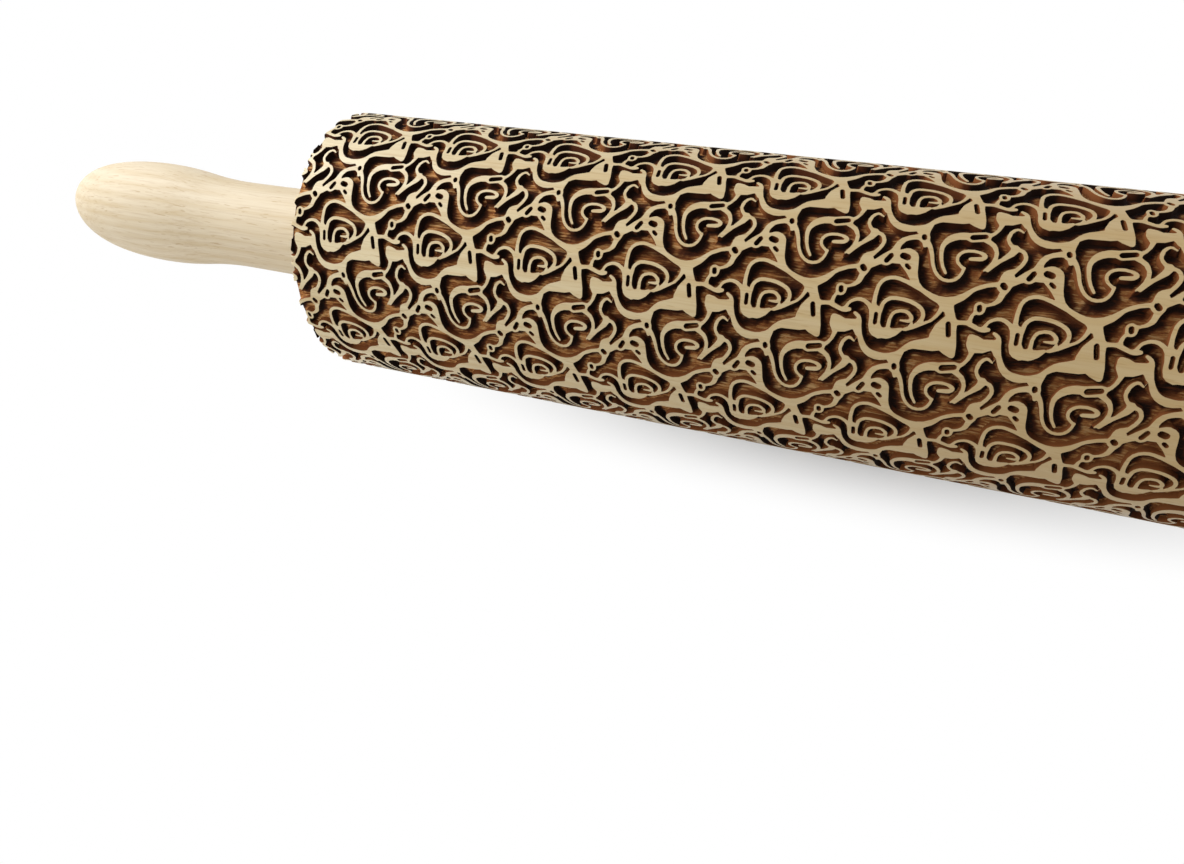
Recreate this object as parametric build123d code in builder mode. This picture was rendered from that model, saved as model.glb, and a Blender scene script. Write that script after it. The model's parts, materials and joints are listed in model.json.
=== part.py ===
from build123d import *
import os

os.makedirs("parts", exist_ok=True)

# An embossed rolling pin lying on a table, in millimetres.
# X runs along the pin, Z is up, and the origin is on the table under the middle of the barrel.
# The barrel and its two bushes turn on a steel axle. The axle, the threaded inserts, the
# thrust washers and the handles stay still in the cook's hands.

# Barrel: a bored cylinder whose round face carries the carving
barrel_length = 250.0
barrel_diameter = 60.0
barrel_rim_round = 0.8
barrel_bore_diameter = 14.0

# Axle: a ground steel rod, stepped down to a thread at each end
axle_diameter = 10.0
thread_diameter = 8.0
thread_length = 23.0
thread_chamfer = 1.0
relief_depth = 0.7
relief_width = 2.0

# Flanged bushes, pressed into both ends of the barrel
bush_length = 20.0
bush_wall = 4.0
flange_overhang = 4.0
flange_thickness = 2.5
flange_stand_out = 0.4
flange_round = 0.5

# Thrust washers, between the bush flanges and the handles
washer_thickness = 1.0
washer_width = 5.0
end_float = 0.3

# Handles: turned grips with a blind hole for the insert
handle_length = 92.0
shoulder_diameter = 22.0
shoulder_round = 0.8
neck_diameter = 21.3
neck_position = 34.0
grip_diameter = 25.4
grip_position = 61.5
nose_fullness_share = 0.64

# Threaded inserts, knurled outside and slotted for a driver
insert_length = 25.0
insert_wall = 2.2
insert_hole_extra = 4.0
knurl_count = 24
knurl_depth = 0.35
slot_width = 1.6
slot_depth = 1.6

# Fits, each as a gap on the radius
running_gap = 0.05
press_gap = 0.01
thread_gap = 0.03
loose_gap = 0.15

# Radii and stations that follow from the sizes above
barrel_radius = barrel_diameter / 2
barrel_end = barrel_length / 2
axle_radius = axle_diameter / 2
thread_radius = thread_diameter / 2
bush_bore_radius = axle_radius + running_gap
bush_radius = bush_bore_radius + bush_wall
flange_radius = bush_radius + flange_overhang
flange_seat_depth = flange_thickness - flange_stand_out
flange_face = barrel_end + flange_stand_out
washer_start = flange_face + end_float
handle_start = washer_start + washer_thickness
washer_bore_radius = axle_radius + loose_gap
washer_radius = washer_bore_radius + washer_width
insert_bore_radius = thread_radius + thread_gap
insert_radius = insert_bore_radius + insert_wall
insert_hole_radius = insert_radius + press_gap
shoulder_radius = shoulder_diameter / 2
neck_radius = neck_diameter / 2
grip_radius = grip_diameter / 2

# Turned profiles are drawn beside the roll axis, with x along the pin and y as the radius
roll_axis = Axis((0, 0, barrel_radius), (1, 0, 0))
turning_plane = Plane(origin=(0, 0, barrel_radius), x_dir=(1, 0, 0), z_dir=(0, -1, 0))
middle_plane = Plane(origin=(0, 0, barrel_radius), x_dir=(0, 1, 0), z_dir=(1, 0, 0))


def face_plane(station, outward=1):
    """The plane square to the roll axis at that station; outward is the sign of its normal."""
    return Plane(origin=(station, 0, barrel_radius), x_dir=(0, outward, 0), z_dir=(outward, 0, 0))


def write(piece, name):
    """Labels one finished piece and writes its STEP file."""
    piece.label = name
    export_step(piece, f"parts/{name}.step")


def write_pair(piece, name):
    """Writes a right-hand piece and its mirror image at the left-hand end."""
    write(piece, f"right_{name}")
    write(mirror(piece, about=Plane.YZ), f"left_{name}")


# Barrel
with BuildPart() as barrel:
    with BuildSketch(middle_plane):
        Circle(barrel_radius)
        Circle(barrel_bore_diameter / 2, mode=Mode.SUBTRACT)
    extrude(amount=barrel_end, both=True)
    rims = barrel.edges().filter_by(GeomType.CIRCLE).group_by(SortBy.RADIUS)[-1]
    fillet(rims, barrel_rim_round)
    with BuildSketch(face_plane(barrel_end), face_plane(-barrel_end, -1)):
        Circle(bush_radius + press_gap)
    extrude(amount=-(bush_length + flange_seat_depth), mode=Mode.SUBTRACT)
    with BuildSketch(face_plane(barrel_end), face_plane(-barrel_end, -1)):
        Circle(flange_radius + loose_gap)
    extrude(amount=-flange_seat_depth, mode=Mode.SUBTRACT)
write(barrel.part, "barrel")

# Axle
with BuildPart() as axle:
    with BuildSketch(middle_plane):
        Circle(axle_radius)
    extrude(amount=handle_start, both=True)
    with BuildSketch(face_plane(handle_start), face_plane(-handle_start, -1)):
        Circle(thread_radius)
    extrude(amount=thread_length)
    thread_ends = axle.edges().filter_by(GeomType.CIRCLE).group_by(SortBy.RADIUS)[0]
    chamfer(thread_ends.group_by(Axis.X)[0] + thread_ends.group_by(Axis.X)[-1], thread_chamfer)
    with BuildSketch(face_plane(handle_start), face_plane(-handle_start, -1)):
        Circle(thread_radius)
        Circle(thread_radius - relief_depth, mode=Mode.SUBTRACT)
    extrude(amount=relief_width, mode=Mode.SUBTRACT)
write(axle.part, "axle")

# Flanged bush
with BuildPart() as bush:
    with BuildSketch(face_plane(flange_face - flange_thickness, -1)):
        Circle(bush_radius)
    extrude(amount=bush_length)
    with BuildSketch(face_plane(flange_face)):
        Circle(flange_radius)
    extrude(amount=-flange_thickness)
    outer_rim = bush.faces().sort_by(Axis.X)[-1].edges()
    fillet(outer_rim, flange_round)
    with Locations(face_plane(flange_face)):
        Hole(bush_bore_radius)
write_pair(bush.part, "bush")

# Thrust washer
with BuildPart() as thrust_washer:
    with BuildSketch(face_plane(washer_start)):
        Circle(washer_radius)
        Circle(washer_bore_radius, mode=Mode.SUBTRACT)
    extrude(amount=washer_thickness)
write_pair(thrust_washer.part, "thrust_washer")

# Handle
neck = (handle_start + neck_position, neck_radius)
grip = (handle_start + grip_position, grip_radius)
swell = ((neck[0] + grip[0]) / 2, (neck[1] + grip[1]) / 2)
handle_end = handle_start + handle_length
with BuildPart() as handle:
    with BuildSketch(turning_plane):
        with BuildLine():
            Polyline((handle_end, 0), (handle_start, 0), (handle_start, shoulder_radius))
            TangentArc(neck, (handle_start, shoulder_radius), tangent=(-1, 0))
            TangentArc(neck, swell, tangent=(1, 0))
            TangentArc(grip, swell, tangent=(-1, 0))
            Bezier(
                grip,
                (grip[0] + nose_fullness_share * (handle_end - grip[0]), grip_radius),
                (handle_end, nose_fullness_share * grip_radius),
                (handle_end, 0),
            )
        make_face()
    revolve(axis=roll_axis)
    shoulder = handle.faces().sort_by(Axis.X)[0].edges()
    fillet(shoulder, shoulder_round)
    with Locations(face_plane(handle_start, -1)):
        CounterBoreHole(
            radius=thread_radius + loose_gap,
            counter_bore_radius=insert_hole_radius,
            counter_bore_depth=insert_length,
            depth=insert_length + insert_hole_extra,
        )
write_pair(handle.part, "handle")

# Threaded insert
with BuildPart() as insert:
    with BuildSketch(face_plane(handle_start)):
        Circle(insert_radius)
        with PolarLocations(insert_radius, knurl_count):
            RegularPolygon(knurl_depth, 4, mode=Mode.SUBTRACT)
        Circle(insert_bore_radius, mode=Mode.SUBTRACT)
    extrude(amount=insert_length)
    with BuildSketch(face_plane(handle_start)):
        Rectangle(3 * insert_radius, slot_width)
    extrude(amount=slot_depth, mode=Mode.SUBTRACT)
write_pair(insert.part, "insert")
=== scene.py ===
import json
import math

import bmesh
import bpy
import numpy as np
from mathutils import Color, Matrix, Vector
from mathutils.geometry import delaunay_2d_cdt, interpolate_bezier


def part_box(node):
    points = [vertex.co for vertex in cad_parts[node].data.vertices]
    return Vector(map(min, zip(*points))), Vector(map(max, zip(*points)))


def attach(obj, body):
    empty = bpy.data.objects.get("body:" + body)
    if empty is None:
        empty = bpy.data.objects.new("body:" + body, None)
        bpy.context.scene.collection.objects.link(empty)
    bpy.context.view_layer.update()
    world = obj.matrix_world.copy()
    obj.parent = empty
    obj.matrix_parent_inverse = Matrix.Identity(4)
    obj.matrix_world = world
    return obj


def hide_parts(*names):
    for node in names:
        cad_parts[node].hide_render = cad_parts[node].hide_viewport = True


# An embossed rolling pin. The turned and metal pieces are the CAD solids with their finishes.
# The barrel is made here, because its whole round face is engraved.
# The frame: metres, +X along the pin, +Z up, and the origin on the table under the barrel.

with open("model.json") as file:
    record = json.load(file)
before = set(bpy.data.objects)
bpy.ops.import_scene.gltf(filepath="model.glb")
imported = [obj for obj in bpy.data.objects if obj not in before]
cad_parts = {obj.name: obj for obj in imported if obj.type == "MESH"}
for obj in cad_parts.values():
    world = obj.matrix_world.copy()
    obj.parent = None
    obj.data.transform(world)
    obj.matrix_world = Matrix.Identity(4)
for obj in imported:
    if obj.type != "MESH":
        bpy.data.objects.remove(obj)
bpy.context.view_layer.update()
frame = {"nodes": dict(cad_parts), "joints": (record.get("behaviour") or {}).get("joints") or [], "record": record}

MM = 0.001
barrel_low, barrel_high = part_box("barrel")
RADIUS = -barrel_low.y / MM
HALF_LENGTH = (barrel_high.x - barrel_low.x) / 2 / MM
ROLL_AXIS = Vector(frame["joints"][0]["pos_m"])

# Engraving, in millimetres: the grooves' depth, how much further their floors are dished and how far
# from the rim that takes, and how far the walls lean. The first whole rose lies so far from the left
# end, and at that angle up round the barrel from its front.
REPEATS_ROUND = 8
REPEAT = 2 * math.pi * RADIUS / REPEATS_ROUND
GROOVE_DEPTH = 1.3
FLOOR_DISH = 0.2
DISH_REACH = 1.5
WALL_DRAFT = 0.22
FIRST_ROSE = 13.5
ROSE_ANGLE = math.radians(24.5)
SKETCH_UNIT = REPEAT / 100

# Barrel ends, in millimetres; the seats and the bore are the CAD barrel's
RIM_ROUND = 0.8
RIM_CUTS = (0.8, 0.4, 0.15)
FACE_INSET = 0.25
FLANGE_SEAT_RADIUS = 13.2
FLANGE_SEAT_DEPTH = 2.1
BUSH_SEAT_RADIUS = 9.06
BUSH_SEAT_DEPTH = 22.1
BORE_RADIUS = 7.0
LINING = (
    (HALF_LENGTH, FLANGE_SEAT_RADIUS),
    (HALF_LENGTH - FLANGE_SEAT_DEPTH, FLANGE_SEAT_RADIUS),
    (HALF_LENGTH - FLANGE_SEAT_DEPTH, BUSH_SEAT_RADIUS),
    (HALF_LENGTH - BUSH_SEAT_DEPTH, BUSH_SEAT_RADIUS),
    (HALF_LENGTH - BUSH_SEAT_DEPTH, BORE_RADIUS),
)
LINING_STEPS = 96

# How the strokes become a map of the grooves: its cells along a side and its passes of smoothing,
# and in millimetres the places along a stroke and the least land round a short groove
GRID = 192
GRID_SMOOTHING = 3
STROKE_STEP = 0.15
FEWEST_STEPS = 3
HOLE_BORDER = 0.45
CELL_CORNERS = ((0, 0), (1, 0), (1, 1), (0, 1))

# How closely the map's outlines are followed, in millimetres, and the fewest corners of a closed one
RIM_TOLERANCE = 0.055
FOOT_TOLERANCE = 0.08
LONGEST_EDGE = 1.8
LEAST_LENGTH = 1e-9
FEWEST_CORNERS = 4

# Loose points between the outlines: how far apart, how far clear of a wall, and by what share of the
# spacing each wanders
FLOOR_SPACING = 1.9
LAND_SPACING = 2.8
FILL_CLEARANCE = 0.45
WANDER_SHARE = 0.12
SEED = 5

# Points this close become one, in millimetres, and folds sharper than this stay sharp
SNAP = 1e-6
TILE_WELD = 0.001
END_WELD = 0.002
SHARP_ANGLE = math.radians(32)

# Soot and painted shade lie in the grooves, within a reach of the wall in millimetres. A share lies all round, as
# soot and the painted shade of the recess. A share depends on the side the wall faces: painted shade, most on the
# grooves' left and upper sides, away from the key light.
SHADED_SIDE = (-0.91, 0.41)
SOOT_AND_SHADE_REACH = 2.0
SOOT_AND_SHADE_ALL_ROUND = 0.4
PAINTED_SHADE_BY_SIDE = 0.9
LEAST_SLOPE = 1e-6

# The raised lines of one repeat, in hundredths of it from the rose's middle, with x along the pin and
# y up round the barrel. Each is a stroke: its half widths from end to end, and the points it passes.
LANDS = (
    # Rose: inner curl, ring line, petal line with its cross piece, and the field at its foot
    (
        (0.8, 1.4, 1.2, 1.2, 1.4),
        (
            (-0.5, -2), (3, -2), (7, -1.5), (7, 1.5), (3.5, 4.5), (-1, 5), (-6, 3), (-8, -2), (-8, -6.5),
            (-8, -10.5),
        ),
    ),
    (
        (1.4, 1.4),
        (
            (-15.5, -11.5), (-16.5, -4), (-16, 3), (-15, 9), (-10.5, 13), (-2.5, 13.5), (5.5, 12),
            (12.5, 8.5), (15, 3.5), (13.5, -1), (10, -5), (4.5, -8),
        ),
    ),
    (
        (1.5, 1.4, 1.4, 1.8),
        (
            (-19, 3.5), (-21.5, 7.5), (-22, 15), (-21, 22), (-17.5, 26.5), (-11, 28.5), (-3.5, 27),
            (4.5, 24), (13.5, 20.5), (21.5, 17), (26.5, 13),
        ),
    ),
    ((1.8, 1.2, 1.0, 1.0), ((27, 13), (25, 6.5), (21, 1), (15.5, -2.5), (10, -6))),
    ((2.3, 3.6, 4.1, 2.8, 1.2), ((-15.5, -8.5), (-14, -12.5), (-8.5, -13), (-3, -11.5), (1.5, -8.5))),
    # The line that holds the rose from the left, and the band under its sweep
    (
        (0.8, 1.2, 1.4, 1.4, 1.5, 2.3),
        (
            (-45, -0.5), (-41.5, 2.5), (-39, 6.5), (-33.5, 9), (-28, 8), (-23.5, 4), (-21.5, -2.5),
            (-21, -8.5), (-18.5, -13.5), (-13.5, -15.5),
        ),
    ),
    (
        (1.2, 1.5, 1.8, 2.5, 3.1, 2.3, 1.5),
        (
            (-34, -1.5), (-30, -4.5), (-28.5, -12), (-26.5, -18.5), (-22, -26), (-15.5, -30),
            (-6.5, -30.5), (1.5, -27.5), (5.5, -23.5),
        ),
    ),
    # The broad leaf beside the rose, and the borders of the zigzag next to it
    (
        (1.8, 2.8, 4.1, 5.4, 3.6, 1.8),
        ((5.5, -23.5), (12, -18.5), (21.5, -16.5), (29.5, -14), (31, -6), (33, 0.5)),
    ),
    ((2.8, 4.4, 4.9, 2.3), ((25.5, -12.5), (32, -14), (37.5, -17.5), (41, -21.5))),
    ((4.4, 3.6, 2.8, 2.3), ((31, -6), (36.5, -11), (39, -13.5), (39.5, -19))),
    ((4.1, 3.3, 3.1, 2.5), ((29.5, 14.5), (31, 12), (33, 8), (36, 3))),
    ((1.5, 2.8, 3.1), ((31, 4), (27.5, -2.5), (25.5, -9.5))),
    ((1.5, 1.5), ((36, 4), (39.5, 2.5), (46, 3), (53, 0.5), (58, -0.5), (61.5, 0.5))),
    ((1.5, 1.5), ((38, 0.5), (39, -6), (41, -13.5), (41.5, -21.5))),
    # The field beyond the zigzag
    ((1.8, 4.9, 4.9, 3.6, 1.8), ((51, -6), (56.5, -11), (59, -12), (66.5, -9.5), (70.5, -7))),
    ((1.5, 3.1, 2.3), ((50.5, -6), (52.5, -12.5), (54, -16))),
    ((1.8, 2.3), ((66.5, -9), (71.5, -16))),
    ((1.8, 1.5, 1.2, 1.5), ((54.5, -13.5), (53.5, -21), (50.5, -26.5), (47, -29))),
    # Second rose: inner curl, and outer line with its leaf
    (
        (1.4, 1.6, 1.4, 1.2, 1.2, 1.2, 1.2, 1.1, 1.0),
        (
            (38, 50), (42, 50.5), (46, 51), (48, 53.5), (44, 56), (37, 56.5), (31.5, 54.5), (29, 50.5),
            (30, 46), (34, 42.5),
        ),
    ),
    (
        (1.0, 1.2, 1.4, 1.8, 2.8, 3.1, 3.1, 2.5),
        (
            (23.5, -63.5), (20, -58), (17.5, -50.5), (17, -42), (21, -35.5), (28, -32), (38, -31.5),
            (45.5, -31.5),
        ),
    ),
    (
        (1.8, 1.8, 1.4, 1.4, 1.1, 0.8),
        ((45.5, -33), (52, -37), (55, -43.5), (54, -50), (51, -55), (48.5, -58)),
    ),
    # The lines that hold the second rose
    (
        (1.0, 1.2, 1.4, 1.6, 1.6, 1.4, 1.2, 1.2, 1.2, 1.2, 1.0),
        (
            (-14.5, 46.5), (-13, 54.5), (-9.5, 59.5), (-2.5, 62), (3.5, 61.5), (8, 56.5), (11, 49.5),
            (13, 42.5), (17, 35.5), (23, 31.5), (29.5, 32), (33.5, 36), (35.5, 42.5),
        ),
    ),
    ((1.8, 1.5, 2.0, 1.5), ((5.5, -23.5), (4.5, -30.5), (3.5, -37), (4.5, -44))),
    (
        (1.1, 1.5, 1.5, 1.6, 1.5, 1.5, 1.8, 2.5, 3.1, 2.5, 1.5, 1.5, 1.5, 1.8),
        (
            (-12.5, 48.5), (-6, 51), (0, 48), (1.5, 41), (3, 32), (7, 24.5), (15, 19.5), (24, 16.5),
            (32, 17), (39, 21), (45.5, 27.5), (53, 31.5), (60.5, 33.5), (66, 36.5),
        ),
    ),
    # The tall curl and its branches
    (
        (0.8, 1.2, 1.4, 1.2, 1.4, 1.4, 1.4, 1.4, 1.4, 1.5, 2.0),
        (
            (-30, -22.5), (-34, -20), (-38, -23), (-39.5, -29.5), (-37, -34.5), (-32, -37.5),
            (-27.5, -39), (-25, -44), (-26.5, -49.5), (-30.5, -55.5), (-34.5, -62), (-35.5, -67),
        ),
    ),
    ((2.8, 2.3, 1.4, 1.1, 0.8), ((-33.5, -37), (-34.5, -41), (-39, -46), (-43.5, -51), (-48.5, -58))),
    (
        (1.5, 1.4, 1.2, 1.2, 1.2, 1.4, 1.5),
        (
            (-0.5, -36), (-7, -38), (-12.5, -41), (-15.5, -45.5), (-17.5, -51), (-22.5, -55.5),
            (-27.5, -61), (-31.5, -66.5),
        ),
    ),
    ((1.5, 2.3, 2.3, 2.0), ((-30.5, -55), (-35.5, -58), (-37, -64), (-37.5, -69))),
    # The small leaf over the rose, and the strip and ring beside it
    (
        (2.0, 2.3, 3.3, 3.3, 4.1, 3.3, 1.8),
        ((-30, 35.5), (-25, 39), (-19.5, 42), (-13.5, 42.5), (-7.5, 42.5), (-2.5, 37), (1.5, 29.5)),
    ),
    (
        (0.8, 1.2, 1.9, 2.1, 2.1, 2.3),
        ((54, 17), (59.5, 18.5), (63.5, 22), (65, 27), (67.5, 32.5), (70, 38)),
    ),
    ((1.0, 1.0), ((52, 18), (55.4, 15), (52.3, 11), (48.9, 14.2), (52, 18))),
    ((1.0, 1.5), ((50, 11.5), (48, 8), (47.5, 3))),
)

# Short grooves inside the broad lands, drawn in the same way
HOLES = (
    ((1.7, 1.7), ((-18.5, 0), (-18, -6.5))),
    ((2.0, 2.0), ((33.5, 0.5), (35.5, -7.5))),
    ((2.1, 2.1), ((-17.5, 45), (-20, 40.5))),
    ((2.6, 2.6), ((-9, 46), (-5.5, 45))),
    ((1.6, 1.6), ((-5, 39), (-2.5, 37))),
    ((2.3, 2.3), ((64, 33.5), (65.5, 32))),
    ((2.0, 2.0), ((51.9, 15.5), (52.3, 13.6))),
    ((2.4, 2.1), ((36.5, -32), (45, -30))),
    ((2.1, 2.1), ((2.5, 64), (3, 62.5))),
)


def stroke_line(points, half_widths):
    """Places along a smooth line through the points, with the half width at each, in millimetres."""
    knots = [Vector(point) * SKETCH_UNIT for point in points]
    line = []
    for i, (start, end) in enumerate(zip(knots, knots[1:])):
        before = knots[max(i - 1, 0)]
        after = knots[min(i + 2, len(knots) - 1)]
        count = max(FEWEST_STEPS, round((end - start).length / STROKE_STEP))
        # Handles a sixth of the chord across each knot join the curves without a kink
        leaving = start + (end - before) / 6
        arriving = end - (after - start) / 6
        curve = interpolate_bezier(start, leaving, arriving, end, count)
        line.extend(curve if i == 0 else curve[1:])
    line = np.array(line)
    run = np.concatenate([[0], np.cumsum(np.linalg.norm(np.diff(line, axis=0), axis=1))])
    stations = np.linspace(0, 1, len(half_widths))
    return line, np.interp(run / run[-1], stations, half_widths) * SKETCH_UNIT


def groove_map():
    """How far each place of the repeat lies from the lands: above zero in a groove, below it on a land."""
    places = np.arange(GRID) * REPEAT / GRID
    along, up = np.meshgrid(places, places)

    def shorter_way(gap):
        return (gap + REPEAT / 2) % REPEAT - REPEAT / 2

    def clearance(strokes):
        nearest = np.full(along.shape, REPEAT)
        for half_widths, points in strokes:
            for (x, y), half_width in zip(*stroke_line(points, half_widths)):
                off = np.hypot(shorter_way(along - x), shorter_way(up - y))
                nearest = np.minimum(nearest, off - half_width)
        return nearest

    holes = clearance(HOLES)
    depth = np.maximum(np.minimum(clearance(LANDS), holes - HOLE_BORDER), -holes)
    for _ in range(GRID_SMOOTHING):
        for axis in (0, 1):
            depth = (np.roll(depth, 1, axis) + 2 * depth + np.roll(depth, -1, axis)) / 4
    return depth


def soot_and_shade_map(depth):
    """How much soot and painted shade lie at each place of the repeat, from 0 to 1; the shade is heaviest beside
    walls facing away from the key light.
    """
    slope_up, slope_along = [
        (np.roll(depth, -1, axis) - np.roll(depth, 1, axis)) * GRID / (2 * REPEAT) for axis in (0, 1)
    ]
    steepness = np.maximum(np.hypot(slope_along, slope_up), LEAST_SLOPE)
    # Painted shade: walls facing right and down, away from the key light on the upper left, and the floor beside
    # them are darkened
    facing = -(slope_along * SHADED_SIDE[0] + slope_up * SHADED_SIDE[1]) / steepness
    near = 1 - np.maximum(0, depth - WALL_DRAFT) / SOOT_AND_SHADE_REACH
    return np.clip(SOOT_AND_SHADE_ALL_ROUND + PAINTED_SHADE_BY_SIDE * facing, 0, 1) * np.clip(near, 0, 1)


def looked_up(grid, place):
    """What a map of the repeat says at a place in millimetres."""
    column, row = np.round(np.asarray(place) * GRID / REPEAT).astype(int) % GRID
    return grid[row, column]


def outlines(depth, level):
    """The closed lines where the groove map has that level, in millimetres, groove on the left."""
    low = depth <= level
    crossed = np.zeros(depth.shape, bool)
    for row, column in ((0, -1), (-1, 0), (-1, -1)):
        crossed |= low != np.roll(low, (row, column), (0, 1))
    # Each cell that a line crosses: the side it comes in by, and the side it goes out by. Where two
    # lines cross one cell, its middle says which sides belong together.
    following = {}
    for row, column in zip(*np.nonzero(crossed)):
        corners = [((row + j) % GRID, (column + i) % GRID) for i, j in CELL_CORNERS]
        first, second, _, fourth = corners
        sides = [("along", *first), ("up", *second), ("along", *fourth), ("up", *first)]
        outside = [bool(low[corner]) for corner in corners]
        leaving = [i for i in range(4) if not outside[i] and outside[(i + 1) % 4]]
        entering = [i for i in range(4) if outside[i] and not outside[(i + 1) % 4]]
        if len(leaving) == 2 and sum(depth[corner] for corner in corners) / 4 > level:
            entering = [(i + 1) % 4 for i in leaving]
        elif len(leaving) == 2:
            entering = [(i - 1) % 4 for i in leaving]
        for i, j in zip(leaving, entering):
            following[sides[i]] = sides[j]

    def crossing(side):
        direction, row, column = side
        ahead = ((row + 1) % GRID, column) if direction == "up" else (row, (column + 1) % GRID)
        share = (level - depth[row, column]) / (depth[ahead] - depth[row, column])
        return (column + share * (direction == "along"), row + share * (direction == "up"))

    lines = []
    while following:
        side = next(iter(following))
        line = []
        while side in following:
            line.append(crossing(side))
            side = following.pop(side)
        line = np.array(line) * REPEAT / GRID
        steps = np.diff(line, axis=0)
        steps -= REPEAT * np.round(steps / REPEAT)
        line = line[0] + np.concatenate([[[0, 0]], np.cumsum(steps, axis=0)])
        middle = (line.min(0) + line.max(0)) / 2
        lines.append(line - REPEAT * np.floor(middle / REPEAT))
    return lines


def thinned(line, tolerance):
    """The fewest points of a closed line that still follow it closely, with no edge too long."""
    closed = np.vstack([line, line[:1]])
    far = int(np.linalg.norm(line - line[0], axis=1).argmax())
    kept = {0}
    spans = [(0, far), (far, len(line))]
    while spans:
        start, end = spans.pop()
        kept.add(end % len(line))
        chord = closed[end] - closed[start]
        length = max(np.linalg.norm(chord), LEAST_LENGTH)
        between = closed[start + 1 : end] - closed[start]
        if len(between) == 0:
            continue
        off = np.abs(between[:, 0] * chord[1] - between[:, 1] * chord[0]) / length
        worst = start + 1 + int(off.argmax())
        halfway = (start + end) // 2
        if off.max() > tolerance:
            spans += [(start, worst), (worst, end)]
        elif length > LONGEST_EDGE:
            spans += [(start, halfway), (halfway, end)]
    return line[sorted(kept)]


def cut_lines(depth):
    """The rims of the grooves on top and the feet of their walls below: points, and edges between them."""
    points = []
    edges = []
    rim = (0, 0, RIM_TOLERANCE)
    foot = (WALL_DRAFT, -GROOVE_DEPTH, FOOT_TOLERANCE)
    for level, height, tolerance in (rim, foot):
        for line in outlines(depth, level):
            line = thinned(line, tolerance)
            if len(line) < FEWEST_CORNERS:
                continue
            start = len(points)
            points += [(x, y, height) for x, y in line]
            edges += [(start + i, start + (i + 1) % len(line)) for i in range(len(line))]
    return points, edges


def fill_points(depth):
    """Loose points that keep the broad lands round and let the soot and painted shade fade softly over the floors.
    """
    random = np.random.default_rng(SEED)
    points = []
    for spacing, in_groove in ((LAND_SPACING, False), (FLOOR_SPACING, True)):
        rows = round(REPEAT / (spacing * math.sqrt(3) / 2) / 2) * 2
        columns = round(REPEAT / spacing)
        for row in range(rows):
            for column in range(columns):
                wander = random.uniform(-WANDER_SHARE, WANDER_SHARE, 2) * spacing
                place = np.array([(column + row % 2 / 2) / columns, row / rows]) * REPEAT + wander
                level = looked_up(depth, place)
                if in_groove and level - WALL_DRAFT > FILL_CLEARANCE:
                    points.append((*place, -GROOVE_DEPTH - FLOOR_DISH * min(1, level / DISH_REACH)))
                elif not in_groove and -level > FILL_CLEARANCE:
                    points.append((*place, 0))
    return points


def repeat_mesh(depth):
    """One repeat of the engraved face, unrolled: its points with their heights, and its triangles."""
    points, edges = cut_lines(depth)
    points += fill_points(depth)

    # The repeat is filled together with its eight neighbours, so that it meets its copies without a seam
    shifts = [(i * REPEAT, j * REPEAT) for i in (0, -1, 1) for j in (0, -1, 1)]
    count = len(points)
    placed = [Vector((x + dx, y + dy)) for dx, dy in shifts for x, y, _ in points]
    joined = [(a + k * count, b + k * count) for k in range(len(shifts)) for a, b in edges]
    # The empty list is faces to keep, 0 asks for triangles all over, and True for each corner's source
    corners, _, triangles, sources, _, _ = delaunay_2d_cdt(placed, joined, [], 0, SNAP, True)

    numbers = {}
    tile_points = []
    tile_faces = []
    for triangle in triangles:
        middle = sum((corners[i] for i in triangle), Vector((0, 0))) / 3
        if not (0 <= middle.x < REPEAT and 0 <= middle.y < REPEAT):
            continue
        for i in triangle:
            if i not in numbers:
                numbers[i] = len(tile_points)
                tile_points.append((corners[i].x, corners[i].y, points[sources[i][0] % count][2]))
        tile_faces.append([numbers[i] for i in triangle])
    return tile_points, tile_faces


def everything(bm):
    return bm.verts[:] + bm.edges[:] + bm.faces[:]


def verts_among(items):
    return [item for item in items if isinstance(item, bmesh.types.BMVert)]


def lay_out_face(bm, groove_layer, soot_and_shade_layer):
    """The engraved face as a flat sheet: one repeat, then its copies along the pin and round it."""
    depth = groove_map()
    soot = soot_and_shade_map(depth)
    points, faces = repeat_mesh(depth)
    first_start = FIRST_ROSE - REPEAT - HALF_LENGTH
    corner = Vector((first_start, ROSE_ANGLE * RADIUS, 0))
    for x, y, height in points:
        vert = bm.verts.new(Vector((x, y, height)) + corner)
        vert[groove_layer] = float(height < 0)
        vert[soot_and_shade_layer] = looked_up(soot, (x, y))
    bm.verts.ensure_lookup_table()
    for face in faces:
        bm.faces.new([bm.verts[i] for i in face])

    repeats_along = math.ceil((HALF_LENGTH - first_start) / REPEAT)
    one_along = Vector((REPEAT, 0, 0))
    one_round = Vector((0, REPEAT, 0))
    for step, count in ((one_along, repeats_along), (one_round, REPEATS_ROUND)):
        pattern = everything(bm)
        for i in range(1, count):
            copied = verts_among(bmesh.ops.duplicate(bm, geom=pattern)["geom"])
            bmesh.ops.translate(bm, verts=copied, vec=step * i)
        bmesh.ops.remove_doubles(bm, verts=bm.verts, dist=TILE_WELD)


def rolled(point):
    """A point of the unrolled face (along, round, height) in millimetres, on the barrel in metres."""
    angle = point.y / RADIUS
    radius = (RADIUS + point.z) * MM
    return ROLL_AXIS + Vector((point.x * MM, -radius * math.cos(angle), radius * math.sin(angle)))


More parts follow.
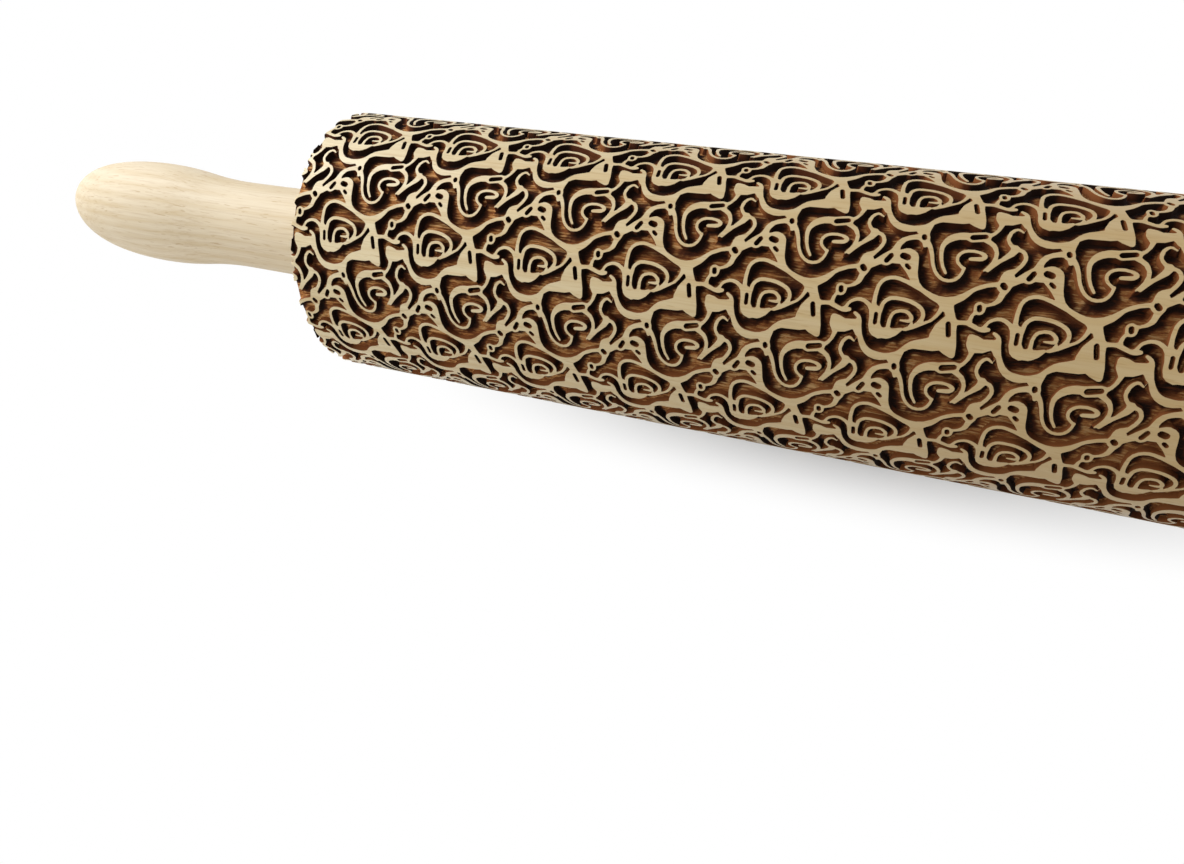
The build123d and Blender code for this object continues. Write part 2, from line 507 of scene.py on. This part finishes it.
def roll_up(bm):
    """Cuts the flat sheet to the barrel's length, rounds off its rims and rolls it up."""
    for side in (-1, 1):
        for inset in (0, *RIM_CUTS):
            bmesh.ops.bisect_plane(
                bm,
                geom=everything(bm),
                dist=END_WELD,
                plane_co=(side * (HALF_LENGTH - inset), 0, 0),
                plane_no=(side, 0, 0),
                clear_outer=inset == 0,
            )
    for vert in bm.verts:
        into_round = max(0, RIM_ROUND - (HALF_LENGTH - abs(vert.co.x)))
        drop = RIM_ROUND - math.sqrt(max(0, RIM_ROUND**2 - into_round**2))
        vert.co.z = min(vert.co.z, -drop)
        vert.co = rolled(vert.co)
    bmesh.ops.remove_doubles(bm, verts=bm.verts, dist=END_WELD * MM)


def close_ends(bm, layers):
    """Gives the rolled face its flat ends, bush seats and bore, all without groove, soot or painted shade.
    # The flat end faces start just inside the notched outline, so that neither soot nor painted shade runs into
    them
    """
    # The flat end faces start just inside the notched outline, so that no soot runs into them
    outline = [edge for edge in bm.edges if edge.is_boundary]
    for vert in verts_among(bmesh.ops.extrude_edge_only(bm, edges=outline)["geom"]):
        inward = ROLL_AXIS - vert.co
        inward.x = 0
        vert.co += inward.normalized() * FACE_INSET * MM
        for layer in layers:
            vert[layer] = 0

    # Inside: the bush seats and the bore, turned in one go, then the flat faces round them
    half_profile = [Vector((x * MM, 0, r * MM)) + ROLL_AXIS for x, r in LINING]
    profile = half_profile + [Vector((-point.x, point.y, point.z)) for point in reversed(half_profile)]
    verts = [bm.verts.new(point) for point in profile]
    line = [bm.edges.new(pair) for pair in zip(verts, verts[1:])]
    bmesh.ops.spin(
        bm,
        geom=verts + line,
        cent=ROLL_AXIS,
        axis=(1, 0, 0),
        angle=2 * math.pi,
        steps=LINING_STEPS,
        use_merge=True,
    )
    for side in (-1, 1):
        outline = [edge for edge in bm.edges if edge.is_boundary and edge.verts[0].co.x * side > 0]
        bmesh.ops.triangle_fill(bm, edges=outline, normal=(side, 0, 0), use_beauty=True)


def mesh_object(bm, name):
    """A new object of that name from a finished bmesh, smooth but for its sharp edges."""
    for face in bm.faces:
        face.smooth = True
    for edge in bm.edges:
        edge.smooth = edge.calc_face_angle(math.pi) < SHARP_ANGLE
    mesh = bpy.data.meshes.new(name)
    bm.to_mesh(mesh)
    bm.free()
    piece = bpy.data.objects.new(name, mesh)
    bpy.context.collection.objects.link(piece)
    return piece


def engraved_barrel():
    """The barrel with its engraving cut round the whole face, its ends closed and its bores lined."""
    bm = bmesh.new()
    layers = [bm.verts.layers.float.new(name) for name in ("groove", "soot")]
    lay_out_face(bm, *layers)
    roll_up(bm)
    close_ends(bm, layers)
    bmesh.ops.recalc_face_normals(bm, faces=bm.faces)
    loose = [edge for edge in bm.edges if not (edge.is_manifold and edge.is_contiguous)]
    print("engraved barrel:", len(bm.faces), "faces,", len(loose), "open or doubled edges")
    return mesh_object(bm, "engraved_barrel")


class Signal:
    """A number or colour that a finish works out at each point. Sums on numbers become Math nodes."""

    def __init__(self, nodes, socket):
        self.nodes = nodes
        self.socket = socket

    def _sum(self, operation, *numbers):
        return self.nodes.node("ShaderNodeMath", {"operation": operation}, dict(enumerate(numbers)))

    def __add__(self, other):
        return self._sum("ADD", self, other)

    def __radd__(self, other):
        return self._sum("ADD", other, self)

    def __sub__(self, other):
        return self._sum("SUBTRACT", self, other)

    def __rsub__(self, other):
        return self._sum("SUBTRACT", other, self)

    def __mul__(self, other):
        return self._sum("MULTIPLY", self, other)

    def __rmul__(self, other):
        return self._sum("MULTIPLY", other, self)


class Nodes:
    """A tree of shader nodes, of a material or of the world."""

    def __init__(self, tree):
        self.tree = tree

    def node(self, kind, settings=None, inputs=None, output=0):
        """A node of that kind. Its settings come first, then the values and links of its sockets."""
        node = self.tree.nodes.new(kind)
        for name, value in (settings or {}).items():
            if name == "stops":
                self._set_stops(node.color_ramp.elements, value)
            else:
                setattr(node, name, value)
        for name, value in (inputs or {}).items():
            if isinstance(value, Signal):
                self.tree.links.new(value.socket, node.inputs[name])
            else:
                node.inputs[name].default_value = value
        return Signal(self, node.outputs[output])

    @staticmethod
    def _set_stops(elements, stops):
        # A new stop starts halfway, and then goes to its place
        while len(elements) < len(stops):
            elements.new(0.5)
        for element, (position, colour) in zip(elements, stops):
            element.position = position
            element.color = colour

    def link(self, signal, node, socket):
        """Leads a signal to a socket of a node that the tree already has, both by name."""
        self.tree.links.new(signal.socket, self.tree.nodes[node].inputs[socket])

    def seen_directly(self):
        """1 for rays from the camera, a mirror or glass, and 0 for rays that carry light."""
        seen = self.node("ShaderNodeLightPath", output="Is Camera Ray")
        for ray in ("Is Glossy Ray", "Is Transmission Ray"):
            other = self.node("ShaderNodeLightPath", output=ray)
            seen = self.node("ShaderNodeMath", {"operation": "MAXIMUM"}, {0: seen, 1: other})
        return seen


# A Mix node's sockets for colours: its share, its first and second colour, and what comes out
MIX_SHARE = 0
MIX_FIRST = 6
MIX_SECOND = 7
MIX_RESULT = 2


class Finish(Nodes):
    """A procedural material, and the tools to draw its colour, roughness and bump."""

    def __init__(self, name, **plain):
        self.material = bpy.data.materials.new(name)
        self.material.use_nodes = True
        super().__init__(self.material.node_tree)
        self.shader = self.tree.nodes["Principled BSDF"]
        for socket, value in plain.items():
            self.shader.inputs[socket.replace("_", " ")].default_value = value

    def place(self, stretch=(1, 1, 1), shift=(0, 0, 0)):
        """The place on the piece in metres, stretched, so that a pattern runs long or fine."""
        here = self.node("ShaderNodeTexCoord", output="Object")
        inputs = {"Vector": here, "Location": shift, "Scale": stretch}
        return self.node("ShaderNodeMapping", inputs=inputs)

    def noise(self, where, scale, detail, roughness=0.55):
        inputs = {"Vector": where, "Scale": scale, "Detail": detail, "Roughness": roughness}
        return self.node("ShaderNodeTexNoise", inputs=inputs, output="Fac")

    def band(self, value, low, high):
        """0 below low and 1 above high, with a soft step between."""
        inputs = {"Value": value, "From Min": low, "From Max": high}
        return self.node("ShaderNodeMapRange", {"interpolation_type": "SMOOTHSTEP"}, inputs)

    def blend(self, share, first, second):
        """The first colour, with the second over it by that share."""
        inputs = {MIX_SHARE: share, MIX_FIRST: first, MIX_SECOND: second}
        return self.node("ShaderNodeMix", {"data_type": "RGBA"}, inputs, MIX_RESULT)

    def ramp(self, value, *stops):
        return self.node("ShaderNodeValToRGB", {"stops": stops}, {"Fac": value})

    def attribute(self, name):
        return self.node("ShaderNodeAttribute", {"attribute_name": name}, output="Fac")

    def drive(self, socket, signal):
        self.link(signal, self.shader.name, socket)

    def bump(self, *layers):
        """Adds relief, from coarse to fine: each layer is a height signal and its depth in millimetres."""
        normal = None
        for height, depth in layers:
            inputs = {"Height": height, "Distance": depth * MM, "Strength": 1.0}
            if normal:
                inputs["Normal"] = normal
            normal = self.node("ShaderNodeBump", inputs=inputs)
        self.drive("Normal", normal)


def colour_of(red, green, blue):
    """A colour given as it looks, 0 to 255, for a node's socket."""
    return (*Color((red / 255, green / 255, blue / 255)).from_srgb_to_scene_linear(), 1)


def beech(finish, pale, warm, fleck):
    """The colour of bare beech, with its grain along the pin, and the grain's fine height."""
    long_way = finish.place(stretch=(0.045, 1, 1), shift=(0.013, 0.021, 0.047))
    drift = finish.noise(finish.place(stretch=(0.25, 1, 1)), scale=38, detail=2)
    rings = finish.node(
        "ShaderNodeTexWave",
        {"wave_type": "RINGS", "rings_direction": "X"},
        {"Vector": long_way, "Scale": 120, "Distortion": 5.0, "Detail": 2.0, "Detail Scale": 0.35},
        "Fac",
    )
    streaks = finish.noise(long_way, scale=620, detail=4, roughness=0.65)
    thread_way = finish.place(stretch=(0.03, 1, 1))
    threads = finish.noise(thread_way, scale=2600, detail=2, roughness=0.6)
    dash_way = finish.place(stretch=(0.11, 1, 1), shift=(0.4, 0.2, 0.1))
    dashes = finish.noise(dash_way, scale=2300, detail=1, roughness=0.4)
    flecks = finish.band(dashes, 0.66, 0.74)
    warmth = finish.band(0.12 * rings + 0.5 * streaks + 0.4 * drift, 0.36, 0.78)
    colour = finish.blend(warmth, pale, warm)
    colour = finish.blend(0.34 * finish.band(threads, 0.45, 0.75), colour, fleck)
    colour = finish.blend(0.55 * flecks, colour, fleck)
    return colour, 0.6 * streaks + 0.4 * threads


def turned_beech():
    finish = Finish("turned_beech", IOR=1.45)
    colour, grain = beech(
        finish,
        pale=colour_of(214, 200, 174),
        warm=colour_of(200, 180, 144),
        fleck=colour_of(176, 147, 108),
    )
    finish.drive("Base Color", colour)
    finish.drive("Roughness", 0.50 + 0.16 * grain)
    finish.bump((grain, 0.03))
    return finish.material


# Painted shade along the pin: the grooves darker and the wood more golden towards its right end, where the light
# falls off, from one place on it to another in metres
PAINTED_SHADE_FROM = -0.12
PAINTED_SHADE_TO = 0.06


def engraved_beech():
    """Pale lands, charred walls and brown floors streaked along the grain, with soot beside the walls; painted
    shade darkens the sides facing away from the key light and the wood towards the pin's right end.
    """
    finish = Finish("engraved_beech", IOR=1.45, Specular_IOR_Level=0.2, Coat_Roughness=0.4)
    shaded_golden = colour_of(188, 152, 92)
    scorched = colour_of(134, 80, 42)
    brown_and_shade = colour_of(82, 41, 18)
    burnt_and_shadow = colour_of(26, 10, 3)
    land, grain = beech(
        finish,
        pale=colour_of(216, 200, 160),
        warm=colour_of(200, 174, 124),
        fleck=colour_of(174, 142, 94),
    )
    groove = finish.attribute("groove")
    soot = finish.attribute("soot")
    fibre_way = finish.place(stretch=(0.08, 1, 1))
    fibres = finish.band(finish.noise(fibre_way, scale=2300, detail=4, roughness=0.7), 0.32, 0.68)
    patch_way = finish.place(stretch=(0.35, 1, 1), shift=(0.3, 0.1, 0.2))
    patches = finish.noise(patch_way, scale=230, detail=3, roughness=0.6)
    streaked = 0.55 * fibres + 0.45 * patches
    floor = finish.ramp(
        streaked,
        (0.22, colour_of(128, 70, 34)),
        (0.42, colour_of(182, 116, 62)),
        (0.60, colour_of(218, 156, 92)),
        (0.78, colour_of(236, 192, 132)),
    )
    # Painted shade along the pin: the lands turn golden and the floors dark brown towards the right end, where the
    # light falls off
    along = finish.node("ShaderNodeSeparateXYZ", inputs={"Vector": finish.place()}, output="X")
    shade_along_pin = finish.band(along, PAINTED_SHADE_FROM, PAINTED_SHADE_TO)
    # Painted shade with the soot: the floors darken most beside walls facing away from the key light, and more
    # towards the right end; the streaks add the burn's own variation
    shade = soot * (0.96 + 0.5 * shade_along_pin) + 0.45 * (0.5 - streaked)
    land = finish.blend(0.56 * shade_along_pin, land, shaded_golden)
    floor = finish.blend(0.42 * shade_along_pin, floor, brown_and_shade)
    floor = finish.blend(finish.band(shade, 0.14, 0.56), floor, brown_and_shade)
    floor = finish.blend(finish.band(shade, 0.50, 0.88), floor, burnt_and_shadow)
    # Painted shade on the walls: those facing away from the key light go from scorched to dark brown and near
    # black
    wall = finish.blend(finish.band(soot, 0.1, 0.5), scorched, brown_and_shade)
    wall = finish.blend(finish.band(soot, 0.6, 0.95), wall, burnt_and_shadow)
    wall = finish.blend(finish.band(groove, 0.0, 0.08), land, wall)
    colour = finish.blend(finish.band(groove + 0.2 * (fibres - 0.5), 0.88, 1.0), wall, floor)
    below = finish.band(groove, 0.0, 0.1)
    finish.drive("Base Color", colour)
    finish.drive("Coat Weight", 0.8 - 0.8 * below)
    finish.drive("Roughness", 0.56 + 0.30 * below)
    finish.bump((grain, 0.04), (fibres * finish.band(groove, 0.9, 1.0), 0.22))
    return finish.material


def axle_steel():
    finish = Finish("axle_steel", Metallic=1.0)
    lines = finish.noise(finish.place(stretch=(1, 0.02, 0.02)), scale=5200, detail=2)
    tone = finish.noise(finish.place(), scale=160, detail=3)
    finish.drive("Base Color", finish.blend(tone, colour_of(196, 198, 202), colour_of(168, 171, 176)))
    finish.drive("Roughness", 0.24 + 0.18 * lines)
    finish.bump((lines, 0.01))
    return finish.material


def bush_nylon():
    finish = Finish("bush_nylon", IOR=1.53)
    lines = finish.noise(finish.place(stretch=(1, 0.05, 0.05)), scale=4200, detail=2)
    tone = finish.noise(finish.place(), scale=120, detail=3)
    finish.drive("Base Color", finish.blend(tone, colour_of(240, 236, 224), colour_of(226, 220, 203)))
    finish.drive("Roughness", 0.34 + 0.2 * lines)
    finish.bump((lines, 0.015))
    return finish.material


def insert_brass():
    finish = Finish("insert_brass", Metallic=1.0)
    tone = finish.noise(finish.place(), scale=300, detail=3)
    finish.drive("Base Color", finish.blend(tone, colour_of(214, 176, 104), colour_of(188, 148, 82)))
    finish.drive("Roughness", 0.28 + 0.2 * tone)
    return finish.material


# Finishes: the CAD pieces take theirs by the record's slots, and the barrel is replaced
makers = (engraved_beech, turned_beech, axle_steel, bush_nylon, insert_brass)
finishes = {maker.__name__: maker() for maker in makers}
for part in frame["record"]["subparts"]:
    node = frame["nodes"][part["node"]]
    node.data.materials.clear()
    node.data.materials.append(finishes[part["material_slot"]])

barrel = engraved_barrel()
barrel.data.materials.append(finishes["engraved_beech"])
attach(barrel, "barrel")
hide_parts("barrel")

# Studio: a pale floor, a white surround, a soft key from the upper left and a weak fill
CAMERA_PLACE = Vector((0.0118, -0.1857, 0.1070))
CAMERA_AZIMUTH = math.radians(22.18)
CAMERA_ELEVATION = math.radians(36.34)
CAMERA_LENS = 27.22
CAMERA_SHIFT_UP = 0.0763
SENSOR_WIDTH = 36.0
NEAREST_SEEN = 0.01
FARTHEST_SEEN = 50
KEY_PLACE = Vector((-0.38, -0.05, 0.34))
KEY_SIZE = 0.3
KEY_POWER = 1.6
FILL_PLACE = Vector((-0.42, -0.42, 0.16))
FILL_SIZE = 0.4
FILL_POWER = 0.75
WHITE = (1, 1, 1, 1)
PAPER = (0.8, 0.8, 0.8, 1)
FLOOR_SIZE = 12.0
SURROUND_STRENGTH = 0.40

# The floor glows white but for a share under the pin, where its shadow shows, long along the pin
GLOW_UNDER_PIN = 0.4
SHADOW_REACH = 0.035
SHADOW_STRETCH = (0.3, 1, 1)


def look_from(thing, place, toward):
    """Puts a lamp or camera at a place, facing a point."""
    turn = (toward - place).to_track_quat("-Z", "Y").to_matrix().to_4x4()
    thing.matrix_world = Matrix.Translation(place) @ turn


camera = bpy.data.objects.new("camera", bpy.data.cameras.new("camera"))
camera.data.lens = CAMERA_LENS
camera.data.sensor_width = SENSOR_WIDTH
camera.data.shift_y = CAMERA_SHIFT_UP
camera.data.clip_start = NEAREST_SEEN
camera.data.clip_end = FARTHEST_SEEN
bpy.context.collection.objects.link(camera)
gaze = Vector((
    -math.sin(CAMERA_AZIMUTH) * math.cos(CAMERA_ELEVATION),
    math.cos(CAMERA_AZIMUTH) * math.cos(CAMERA_ELEVATION),
    -math.sin(CAMERA_ELEVATION),
))
look_from(camera, CAMERA_PLACE, CAMERA_PLACE + gaze)
bpy.context.scene.camera = camera

for name, place, size, power in (
    ("key", KEY_PLACE, KEY_SIZE, KEY_POWER),
    ("fill", FILL_PLACE, FILL_SIZE, FILL_POWER),
):
    lamp = bpy.data.objects.new(name, bpy.data.lights.new(name, "AREA"))
    lamp.data.shape = "DISK"
    lamp.data.size = size
    lamp.data.energy = power
    bpy.context.collection.objects.link(lamp)
    look_from(lamp, place, ROLL_AXIS)

floor_bm = bmesh.new()
bmesh.ops.create_grid(floor_bm, x_segments=1, y_segments=1, size=FLOOR_SIZE / 2)
floor = mesh_object(floor_bm, "floor")
paper = Finish("white_paper", Base_Color=PAPER, Roughness=1.0, Specular_IOR_Level=0.0)
glow = paper.node("ShaderNodeEmission", inputs={"Color": WHITE, "Strength": 1.0})
from_pin = {0: paper.place(stretch=SHADOW_STRETCH)}
off = paper.node("ShaderNodeVectorMath", {"operation": "LENGTH"}, from_pin, "Value")
clear = paper.band(off, 0.0, SHADOW_REACH)
share = paper.seen_directly() * (GLOW_UNDER_PIN + (1 - GLOW_UNDER_PIN) * clear)
lit = Signal(paper, paper.shader.outputs[0])
shown = paper.node("ShaderNodeMixShader", inputs={0: share, 1: lit, 2: glow})
paper.link(shown, "Material Output", "Surface")
floor.data.materials.append(paper.material)

world = bpy.data.worlds.new("surround")
world.use_nodes = True
bpy.context.scene.world = world
surround = Nodes(world.node_tree)
surround.tree.nodes["Background"].inputs["Color"].default_value = WHITE
strength = SURROUND_STRENGTH + (1 - SURROUND_STRENGTH) * surround.seen_directly()
surround.link(strength, "Background", "Strength")

bpy.context.scene.view_settings.view_transform = "Standard"
